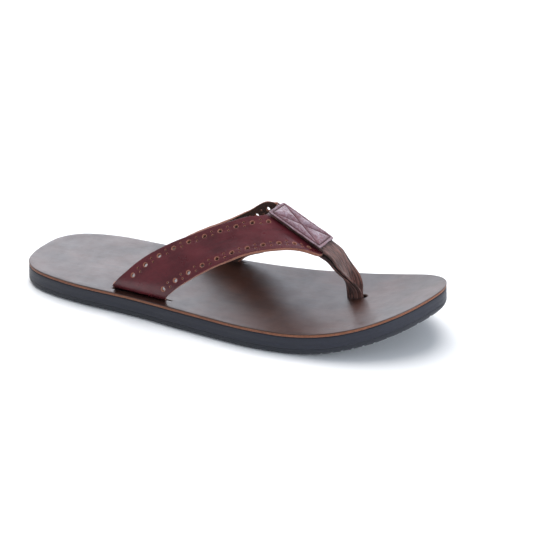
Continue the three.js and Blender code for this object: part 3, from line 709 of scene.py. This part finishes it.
def footbed():
    loop = sole_outline(FOOTBED_POINTS)

    def loops_at(inset):
        slits = [slit_loop(arm, inset) for arm in ARMS.values()]
        return [moved_in(loop, inset), *slits, post_slot_loop(inset)]

    def relief(flat):
        x, y = flat[:, 0], flat[:, 1]
        dish = hollow(flat, (52, 0), (42, 26), 0.5)
        ball = hollow(flat, (205, 2), (38, 34), 0.45)
        edge_gap = np.linalg.norm(flat[:, None, :] - loop[None, ::4, :], axis=2).min(axis=1)
        return (dish + ball + 0.22 * waves(x, y, 11, 70)) * smoothstep(edge_gap, 0.5, 9)

    def surface(flat, height):
        return on_sole(flat[:, 0], flat[:, 1], (FOOTBED_BASE + SOLE_HEIGHT) / 2 + height)

    half = (SOLE_HEIGHT - FOOTBED_BASE) / 2
    profile = [(0.7, half), (0.35, half - 0.06), (0.12, half - 0.22), (0.02, half - 0.5), (0.0, 0.0),
               (0.02, 0.5 - half), (0.15, 0.2 - half), (0.7, -half)]
    materials = [footbed_leather(), FOOTBED_EDGE, FLESH]
    piece = leather_sheet("footbed_leather", loops_at, profile, 2.6, surface, materials,
                          [0, 0, 0, 0, 1, 1, 1, 1, 2], relief, raw=2)
    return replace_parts(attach(piece, "root"), "footbed")


# ------------------------------------------------------------------ the vamp and the arms
VAMP_HEEL, VAMP_TOE = np.array([167.3, 17.8, 60.4]), np.array([202.9, 16.4, 42.6])
VAMP_ALONG = unit(VAMP_TOE - VAMP_HEEL)
VAMP_ACROSS = unit(np.array([0, 1, 0]) - VAMP_ALONG * VAMP_ALONG[1])
VAMP_UP = np.cross(VAMP_ALONG, VAMP_ACROSS)
VAMP_FLAT, ARM_HEEL, ARM_TOE, PLY_FLAT_END = 10.4, -1.0, 42.5, 43.0


def on_vamp(along, across, up):
    """A point by its place on the sloping plane where the arms, the toe post and the patch lie flat."""
    along, across, up = (np.asarray(v, float)[..., None] for v in (along, across, up))
    return VAMP_HEEL + along * VAMP_ALONG + across * VAMP_ACROSS + up * VAMP_UP


def vamp_end(along, side):
    """The last points of an arm's edge, straight across the vamp to its middle."""
    return [tuple(on_vamp(along, side * across, 0)) for across in (VAMP_FLAT, VAMP_FLAT / 2, GAP / 2)]


# each arm's middle surface, from its hidden end to the seam under the patch
ARMS = {
    "lateral": {
        "inward": 1,
        "heel": [
            (84, -17, TAB_LEVEL), (81.2, -29.6, TAB_LEVEL), (81.2, -35.2, 13.6), (82.6, -40.8, 17.6),
            (86.8, -43, 21.8), (93.8, -39.7, 29), (102.8, -33.4, 37), (114.6, -25.8, 44.4),
            (129.3, -17.6, 51), (145, -8.2, 57.4), (157.6, 0.2, 61.2), *vamp_end(ARM_HEEL, -1),
        ],
        "toe": [
            (117, -21, TAB_LEVEL), (118.8, -33.8, TAB_LEVEL), (119.6, -38.4, 13), (122.2, -42.4, 16.8),
            (128.7, -42.2, 23.3), (138, -38.9, 30.8), (149.4, -33.9, 37.8), (161.5, -27.6, 43.9),
            (173.3, -20, 47.7), (185.4, -11.8, 48.8), (196, -3.2, 47), *vamp_end(ARM_TOE, -1),
        ],
    },
    "medial": {
        "inward": -1,
        "heel": [
            (88, 15, TAB_LEVEL), (86, 28.6, TAB_LEVEL), (85, 33.4, 12.6), (85.4, 37.8, 16.2),
            (90, 39.2, 21.2), (97.8, 38, 26.4), (107.8, 35, 32.1), (118.6, 31.4, 38.4),
            (131.2, 28, 45.7), (144.6, 27.2, 54.2), (157.6, 28.4, 62.2), tuple(on_vamp(-3.2, 10.6, 0)),
            tuple(on_vamp(-1.5, VAMP_FLAT / 2, 0)), tuple(on_vamp(ARM_HEEL, GAP / 2, 0)),
        ],
        "toe": [
            (131, 15, TAB_LEVEL), (132.6, 30, TAB_LEVEL), (133.4, 34.4, 12.6), (136.4, 38.4, 15.8),
            (142.6, 39.8, 18.4), (149.8, 40.2, 21.4), (157.8, 40, 26.2), (165.2, 39.2, 32.6),
            (173.4, 37.4, 39.2), (183.4, 33.8, 43.6), (193.8, 30.2, 45.4), *vamp_end(ARM_TOE, 1),
        ],
    },
}


class ArmSurface:
    """An arm's middle surface, by its shares along and across from the heel-side edge."""

    def __init__(self, arm):
        self.inward = arm["inward"]
        self.heel, self.toe = spline(arm["heel"]), spline(arm["toe"])

    def at(self, along, across):
        across = np.asarray(across, float)[:, None]
        return self.heel(along) * (1 - across) + self.toe(along) * across

    def frame(self, along, across):
        """The surface's two tangents, by its two shares, and the normal on the side that shows."""
        start = np.minimum(along, 1 - SMALL)
        here = self.at(start, across)
        forward = (self.at(start + SMALL, across) - here) / SMALL
        sideways = (self.at(start, across + SMALL) - here) / SMALL
        return forward, sideways, unit(np.cross(forward, sideways) * -self.inward)

    def width(self, along):
        return np.linalg.norm(self.toe(along) - self.heel(along), axis=1)

    def inset_share(self, along, from_heel, inset):
        """The share across at which a point stands inset from one edge, square to that edge."""
        edge = self.heel if from_heel else self.toe
        start = np.minimum(along, 1 - SMALL)
        run = unit(edge(start + SMALL) - edge(start))
        square = np.linalg.norm(np.cross(self.toe(start) - self.heel(start), run), axis=1)
        share = inset / np.maximum(square, self.width(start) / MOST_SKEW)
        return share if from_heel else 1 - share

    def shares_of(self, along, across, offsets):
        """The changes of the two shares that move a point by each offset along and square to the arm."""
        forward, sideways, normal = (v[0] for v in self.frame(np.array([along]), np.array([across])))
        first = unit(forward)
        second = np.cross(normal, first)
        moves = np.asarray(offsets, float) @ np.stack([first, second])
        return np.linalg.lstsq(np.stack([forward, sideways], axis=1), moves.T, rcond=None)[0].T

    def clears_edges(self, along, across, distance):
        """Whether a point is at least that far from both long edges."""
        spot = self.at(np.array([along]), np.array([across]))[0]
        edges = np.vstack([edge(np.linspace(0, 1, 400)) for edge in (self.heel, self.toe)])
        return np.linalg.norm(edges - spot, axis=1).min() > distance


def row_shares(surface, from_heel):
    """Where a row's round holes stand, evenly spaced from footbed to patch, and the middles between."""
    along = np.linspace(EXIT_SHARE, PATCH_SHARE, 401)
    across = surface.inset_share(along, from_heel, PUNCH_INSET)
    walked = walked_along(surface.at(along, across))
    first = FIRST_FROM_HEEL if from_heel else FIRST_FROM_TOE
    row = walked[-1] - first - PUNCH_LAST
    gaps = round(row / PUNCH_PITCH)
    big = first + row * np.arange(gaps + 1) / gaps
    middles = (big[1:] + big[:-1]) / 2
    return [(np.interp(at, walked, along), np.interp(at, walked, across)) for at in (big, middles)]


def arm_holes(surface):
    """Every hole of an arm as (along, across, radius)."""
    holes = []
    for from_heel in (True, False):
        (big, big_across), (small, small_across) = row_shares(surface, from_heel)
        holes += [(a, c, PUNCH_RADIUS) for a, c in zip(big, big_across)]
        half = PIN_HOLE_SPREAD / 2
        for a, c in zip(small, small_across):
            for along, across in surface.shares_of(a, c, [(0, -half), (0, half)]):
                holes.append((a + along, c + across, PIN_HOLE_RADIUS))
    return [hole for hole in holes if surface.clears_edges(hole[0], hole[1], hole[2] + PUNCH_MARGIN)]


def strap(side, node):
    arm = ARMS[side]
    surface = ArmSurface(arm)
    length, width = 150.0, 38.0  # the pattern's scale, so that its triangles are about even in space
    holes = arm_holes(surface)

    def hole_loop(along, across, radius, inset):
        sides = 22 if radius > 1 else 12
        angles = np.arange(sides) * 2 * math.pi / sides
        ring = (radius + inset) * np.column_stack([np.cos(angles), np.sin(angles)])
        return ((along, across) + surface.shares_of(along, across, ring)) * (length, width)

    def border(inset):
        along = np.linspace(0, 1, 170)
        inner = along * (1 - 2 * inset / length) + inset / length
        wide = surface.width(inner)
        shown = smoothstep(inner, 0.2, 0.3)
        wander = CUT_WAVE * waves(inner * length, 0 * inner, 3 + surface.inward, 19) * shown
        near = np.column_stack([inner * length, (inset + wander) / wide * width])
        far = np.column_stack([inner * length, (1 - (inset - wander) / wide) * width])
        end = np.linspace(0, 1, 34)[1:-1][:, None]
        patch_end = near[-1] * (1 - end) + far[-1] * end
        hidden_end = far[0] * (1 - end) + near[0] * end
        return np.vstack([near, patch_end, far[::-1], hidden_end])

    def loops_at(inset):
        softness = {PUNCH_RADIUS: 0.8, PIN_HOLE_RADIUS: 0.4}  # of the holes' edges, beside the strap's own
        return [border(inset), *(hole_loop(*hole, inset * softness[hole[2]]) for hole in holes)]

    def on_arm(flat, height):
        along, across = flat[:, 0] / length, flat[:, 1] / width
        _, _, normal = surface.frame(along, across)
        ripple = 0.3 * waves(flat[:, 0], flat[:, 1], 21 + surface.inward, 34) * smoothstep(along, 0.3, 0.45)
        ripple = ripple * (1 - smoothstep(along, 0.74, 0.84))
        return surface.at(along, across) + normal * (np.asarray(height) + ripple)[:, None]

    half = STRAP_THICKNESS / 2
    profile = [(0.5, half), (0.24, half - 0.05), (0.08, half - 0.2), (0.0, half - 0.5), (0.0, 0.5 - half),
               (0.08, 0.2 - half), (0.24, 0.05 - half), (0.5, -half)]
    piece = leather_sheet(f"{side}_strap_leather", loops_at, profile, 1.5, on_arm, [LEATHER, EDGE, FLESH],
                          [0, 0, 0, 1, 1, 1, 1, 2, 2])
    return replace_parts(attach(piece, "root"), node)


# ------------------------------------------------------------------ the patch and its stitching
def seam_corners():
    x0, x1, y = SEAM_INSET, PATCH_LENGTH - SEAM_INSET, PATCH_WIDTH / 2 - SEAM_INSET
    return [np.array(p) for p in ((x0, -y), (x1, -y), (x1, y), (x0, y))]


def seam_lines():
    a, b, c, d = seam_corners()
    return [(a, b), (b, c), (c, d), (d, a), (a, c), (b, d)]


def seam_gap(flat):
    """The distance from each point to the nearest line of stitching."""
    gaps = []
    for start, end in seam_lines():
        run = end - start
        share = np.clip((flat - start) @ run / (run @ run), 0, 1)
        gaps.append(np.linalg.norm(flat - start - share[:, None] * run, axis=1))
    return np.min(gaps, axis=0)


def patch_rise(flat):
    """How far the patch's face stands above its flat level: deep at the stitching, puffed up between."""
    gap = seam_gap(flat)
    outer = np.maximum(np.abs(flat[:, 0] - PATCH_LENGTH / 2) - (PATCH_LENGTH / 2 - SEAM_INSET),
                       np.abs(flat[:, 1]) - (PATCH_WIDTH / 2 - SEAM_INSET))
    puff = 2.1 * (1 - np.exp(-gap / 1.6))
    lip = 0.55 * (1 - np.exp(-gap / 0.6))
    rise = np.where(outer > 0, lip, puff) - CREASE_DEPTH
    return rise + 0.16 * waves(flat[:, 0], flat[:, 1], 8, 9) * smoothstep(gap, 0.3, 2)


def vamp_patch():
    low, high = np.array([0, -PATCH_WIDTH / 2]), np.array([PATCH_LENGTH, PATCH_WIDTH / 2])
    whole = rounded_box_loop(low, high, PATCH_CORNER)
    steps = np.linalg.norm(whole - np.roll(whole, -1, axis=0), axis=1)
    parts = [max(1, int(step / 0.6)) for step in steps]

    def loops_at(inset):
        loop = rounded_box_loop(low + inset, high - inset, PATCH_CORNER)
        loop = np.vstack([a + (b - a) * np.arange(count)[:, None] / count
                          for a, b, count in zip(loop, np.roll(loop, -1, axis=0), parts)])
        wobble = 0.16 * waves(loop[:, 0], loop[:, 1], 14, 11)
        return [loop + wobble[:, None] * unit(loop - [PATCH_LENGTH / 2, 0])]

    def surface(flat, height):
        return on_vamp(flat[:, 0], flat[:, 1], PATCH_BASE + PATCH_THICKNESS / 2 + height)

    half = PATCH_THICKNESS / 2
    profile = [(0.45, half), (0.2, half - 0.05), (0.05, half - 0.2), (0.0, half - 0.45), (0.0, 0.35 - half),
               (0.1, 0.12 - half), (0.45, -half)]
    piece = leather_sheet("vamp_patch_leather", loops_at, profile, 0.5, surface, [patch_leather(), FLESH],
                          [0, 0, 0, 0, 1, 1, 1, 1], patch_rise)
    pattern = np.zeros(3 * len(piece.data.vertices), np.float32)
    piece.data.attributes["pattern"].data.foreach_get("vector", pattern)
    flat = pattern.reshape(-1, 3)[:, :2] / MM
    # puff, 0 at the stitching and 1 on the tops, masks the painted crease shade and the painted sheen
    puff = 1 - np.exp(-seam_gap(flat) / 1.1)
    piece.data.attributes.new("puff", "FLOAT", "POINT").data.foreach_set("value", puff.astype(np.float32))
    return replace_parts(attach(piece, "root"), "vamp_patch")


def stitches(name, node, level_at, up, material):
    """Single stitches along every line of the seam, each one a short thread that dips into the leather."""
    points, faces = [], []
    for start, end in seam_lines():
        count = round(np.linalg.norm(end - start) / STITCH_PITCH)
        run = (end - start) / count
        for k in range(count):
            base = len(points)
            for ring in range(STITCH_RINGS):
                share = ring / (STITCH_RINGS - 1)
                bow = math.sin(math.pi * share)
                spot = start + run * (k + 0.08 + 0.84 * share)
                middle = on_vamp(spot[0], spot[1], level_at(spot) + up * (0.62 * bow - 0.42))
                across = -run[1] * VAMP_ALONG + run[0] * VAMP_ACROSS
                across = across / np.linalg.norm(across)
                size = STITCH_RADIUS * (0.35 + 0.65 * bow**0.5)
                for side in range(STITCH_SIDES):
                    angle = 2 * math.pi * side / STITCH_SIDES
                    points.append(middle + size * (math.cos(angle) * across + math.sin(angle) * VAMP_UP))
            faces += tube_faces(base, STITCH_SIDES, STITCH_RINGS)
    piece = make_object(name, points, faces, [material])
    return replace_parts(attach(piece, "root"), node)


# ------------------------------------------------------------------ the toe post
def post_line():
    """The front ply's middle line, along the bottom of its fold."""
    shares = (0.05, 0.35, 0.65, 0.88, 1)
    on_the_vamp = [tuple(on_vamp(share * PLY_FLAT_END, 0, PLY_OFFSET)) for share in shares]
    bends = [(212.4, 14.8, 40), (217.8, 13.9, 33.6), (221.6, 13.1, 25)]
    end = MIDSOLE_BASE + GAP
    in_sole = []
    for h in (SOLE_HEIGHT + 1, (SOLE_HEIGHT + end) / 2, end):
        x, y, z = on_sole(POST_X, POST_Y, 0) + sole_normal(POST_X) * h
        in_sole.append((x - FRONT_FOLD, y, z))
    return spline([*on_the_vamp, *bends, *in_sole])


def folded(distance, reach, turn):
    """Half a ply's cross-section at a distance from its middle: sideways, forward and the angle it faces."""
    curvature = turn / reach
    angle = curvature * np.minimum(distance, reach)
    leg = np.maximum(0, distance - reach)
    sideways = np.sin(angle) / curvature + leg * np.cos(angle)
    return sideways, (1 - np.cos(angle)) / curvature + leg * np.sin(angle), angle


def ply_section(columns, round_angles):
    """A flat ply's cross-section as (distance from its middle, depth): front, right edge, back, left edge."""
    thick = PLY_THICKNESS / 2
    face = PLY_WIDTH / 2 - PLY_EDGE
    front = [(d, thick) for d in np.linspace(-face, face, columns)]
    right = [(face + PLY_EDGE * math.sin(a), thick * math.cos(a)) for a in round_angles]
    back = [(d, -thick) for d in np.linspace(face, -face, columns)]
    left = [(-face - PLY_EDGE * math.sin(a), -thick * math.cos(a)) for a in round_angles]
    return np.array(front + right + back + left)


def ply_faces(stations, columns, rounds):
    """The faces of a ply whose section has that many points on each face and in each rounded edge."""
    count = 2 * (columns + rounds)
    faces = []
    for row in range(stations - 1):
        for i in range(count):
            a, b = row * count + i, row * count + (i + 1) % count
            faces.append((a, b, b + count, a + count))
    for base in (0, (stations - 1) * count):
        top = [base + i for i in range(columns)]
        low = [base + columns + rounds + i for i in range(columns)][::-1]
        faces += [(top[i], top[i + 1], low[i + 1], low[i]) for i in range(columns - 1)]
        faces.append((top[-1], *[base + columns + i for i in range(rounds)], low[-1]))
        faces.append((low[0], *[base + 2 * columns + rounds + i for i in range(rounds)], top[0]))
    return faces


def post_ply(name, node, is_back, material):
    line = post_line()
    stations, columns = 110, 45
    round_angles = np.linspace(0, math.pi, 7)[1:-1]
    distance, depth = ply_section(columns, round_angles).T
    on_face = np.abs(distance) < PLY_WIDTH / 2 - PLY_EDGE
    side = np.where(distance < 0, -1, 1)
    points, pattern = [], []
    for share in np.linspace(0, 1, stations):
        middle = line(share)[0]
        tangent = unit(line(min(1, share + SMALL))[0] - line(max(0, share - SMALL))[0])
        across = unit(np.array([0, 1, 0]) - tangent * tangent[1])
        forward = np.cross(tangent, across)
        fold = 1 - smoothstep(middle[2], FOLD_LOW, FOLD_HIGH)
        turn = max(1e-3, math.pi / 2 * fold)
        reach = 0.45 * PLY_WIDTH * (1 - fold) + math.pi / 2 * FRONT_FOLD * fold
        behind = 0
        if is_back:
            reach += turn * PLY_STEP
            parted = 1 - smoothstep(share, PART_START, PART_END)
            behind = PLY_STEP + (2 * PLY_OFFSET - PLY_STEP) * parted
        sideways, ahead, angle = folded(np.abs(distance), reach, turn)
        ribs = 0.07 * waves(distance, np.full_like(distance, share * 8), 31 + is_back, 1.7, 2)
        lift = depth + np.where(on_face, ribs * np.sign(depth), 0)
        facing = forward * np.cos(angle)[:, None] - across * (side * np.sin(angle))[:, None]
        folded_flat = across * (side * sideways)[:, None] + forward * ahead[:, None]
        points.append(middle - forward * behind + folded_flat + facing * lift[:, None])
        pattern.append(np.column_stack([distance, np.full_like(distance, share * 90), 0 * distance]) * MM)
    faces = ply_faces(stations, columns, len(round_angles))
    piece = make_object(name, np.vstack(points), faces, [material], None, {"pattern": np.vstack(pattern)})
    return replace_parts(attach(piece, "root"), node)


# ------------------------------------------------------------------ the pieces
outsole()
midsole()
footbed()
strap("lateral", "lateral_strap")
strap("medial", "medial_strap")
vamp_patch()
POST = post_leather()
post_ply("toe_post_upper_leather", "toe_post_front_ply", False, POST)
post_ply("toe_post_lower_leather", "toe_post_back_ply", True, POST)
THREAD = thread_fibre()
stitches("patch_stitches", "patch_top_thread",
         lambda spot: PATCH_TOP + float(patch_rise(np.array([spot]))[0]), 1, THREAD)
stitches("bobbin_stitches", "patch_bobbin_thread",
         lambda spot: -PLY_OFFSET - PLY_THICKNESS / 2, -1, THREAD)

BOARD, STEEL = pressed_board(), steel()
for node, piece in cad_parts.items():
    finish = {"toe_post_anchor_disc": BOARD, "toe_post_pin": STEEL}.get(node)
    if "_tack_" in node:
        finish = STEEL
    if finish:
        piece.data.materials.clear()
        piece.data.materials.append(finish)

# ------------------------------------------------------------------ floor, light and camera
bpy.ops.mesh.primitive_grid_add(x_subdivisions=40, y_subdivisions=40, size=9)
floor = bpy.context.object
floor.name = "floor"
floor.data.materials.append(paper_floor())


def softbox(name, place_at, target, size, watts, colour):
    light = bpy.data.lights.new(name, "AREA")
    light.shape, light.size, light.size_y = "RECTANGLE", size[0], size[1]
    light.energy, light.color = watts, colour
    box = bpy.data.objects.new(name, light)
    bpy.context.scene.collection.objects.link(box)
    box.location = place_at
    box.rotation_euler = (Vector(target) - Vector(place_at)).to_track_quat("-Z", "Y").to_euler()


# a wide soft light from above, two boxes behind the shoe that the glossy leather mirrors, and one by the toe
sun = bpy.data.lights.new("overhead", "SUN")
sun.energy, sun.angle, sun.color = 3.3, math.radians(60), (1, 0.985, 0.975)
overhead = bpy.data.objects.new("overhead", sun)
bpy.context.scene.collection.objects.link(overhead)
overhead.visible_glossy = False
overhead.rotation_euler = Vector((-0.42, 0.5, 1)).to_track_quat("Z", "Y").to_euler()
softbox("behind", (-1.24, 1.5, 0.78), (0, 0, 0.02), (0.88, 1.45), 9.8, (0.88, 0.92, 1.0))
softbox("behind_toe", (-0.3, 1.65, 0.8), (0.1, 0, 0.02), (0.9, 1.0), 4.6, (0.82, 0.88, 1.0))
softbox("beside_toe", (1.7, -0.5, 0.55), (0.1, 0, 0.02), (0.9, 0.9), 18, (0.82, 0.90, 1.0))

world = bpy.data.worlds.new("studio")
bpy.context.scene.world = world
world.use_nodes = True
world.node_tree.nodes["Background"].inputs["Color"].default_value = (0.86, 0.92, 1.0, 1)
world.node_tree.nodes["Background"].inputs["Strength"].default_value = 0.45

lens = bpy.data.cameras.new("camera")
lens.lens, lens.sensor_width = 94.6, 36
camera = bpy.data.objects.new("camera", lens)
bpy.context.scene.collection.objects.link(camera)
camera.location = place((519.4, -731.9, 374.3))
target = Vector(place((140.2, 64.2, 0)))
camera.rotation_euler = (target - camera.location).to_track_quat("-Z", "Y").to_euler()
bpy.context.scene.camera = camera
bpy.context.scene.view_settings.view_transform = "Standard"
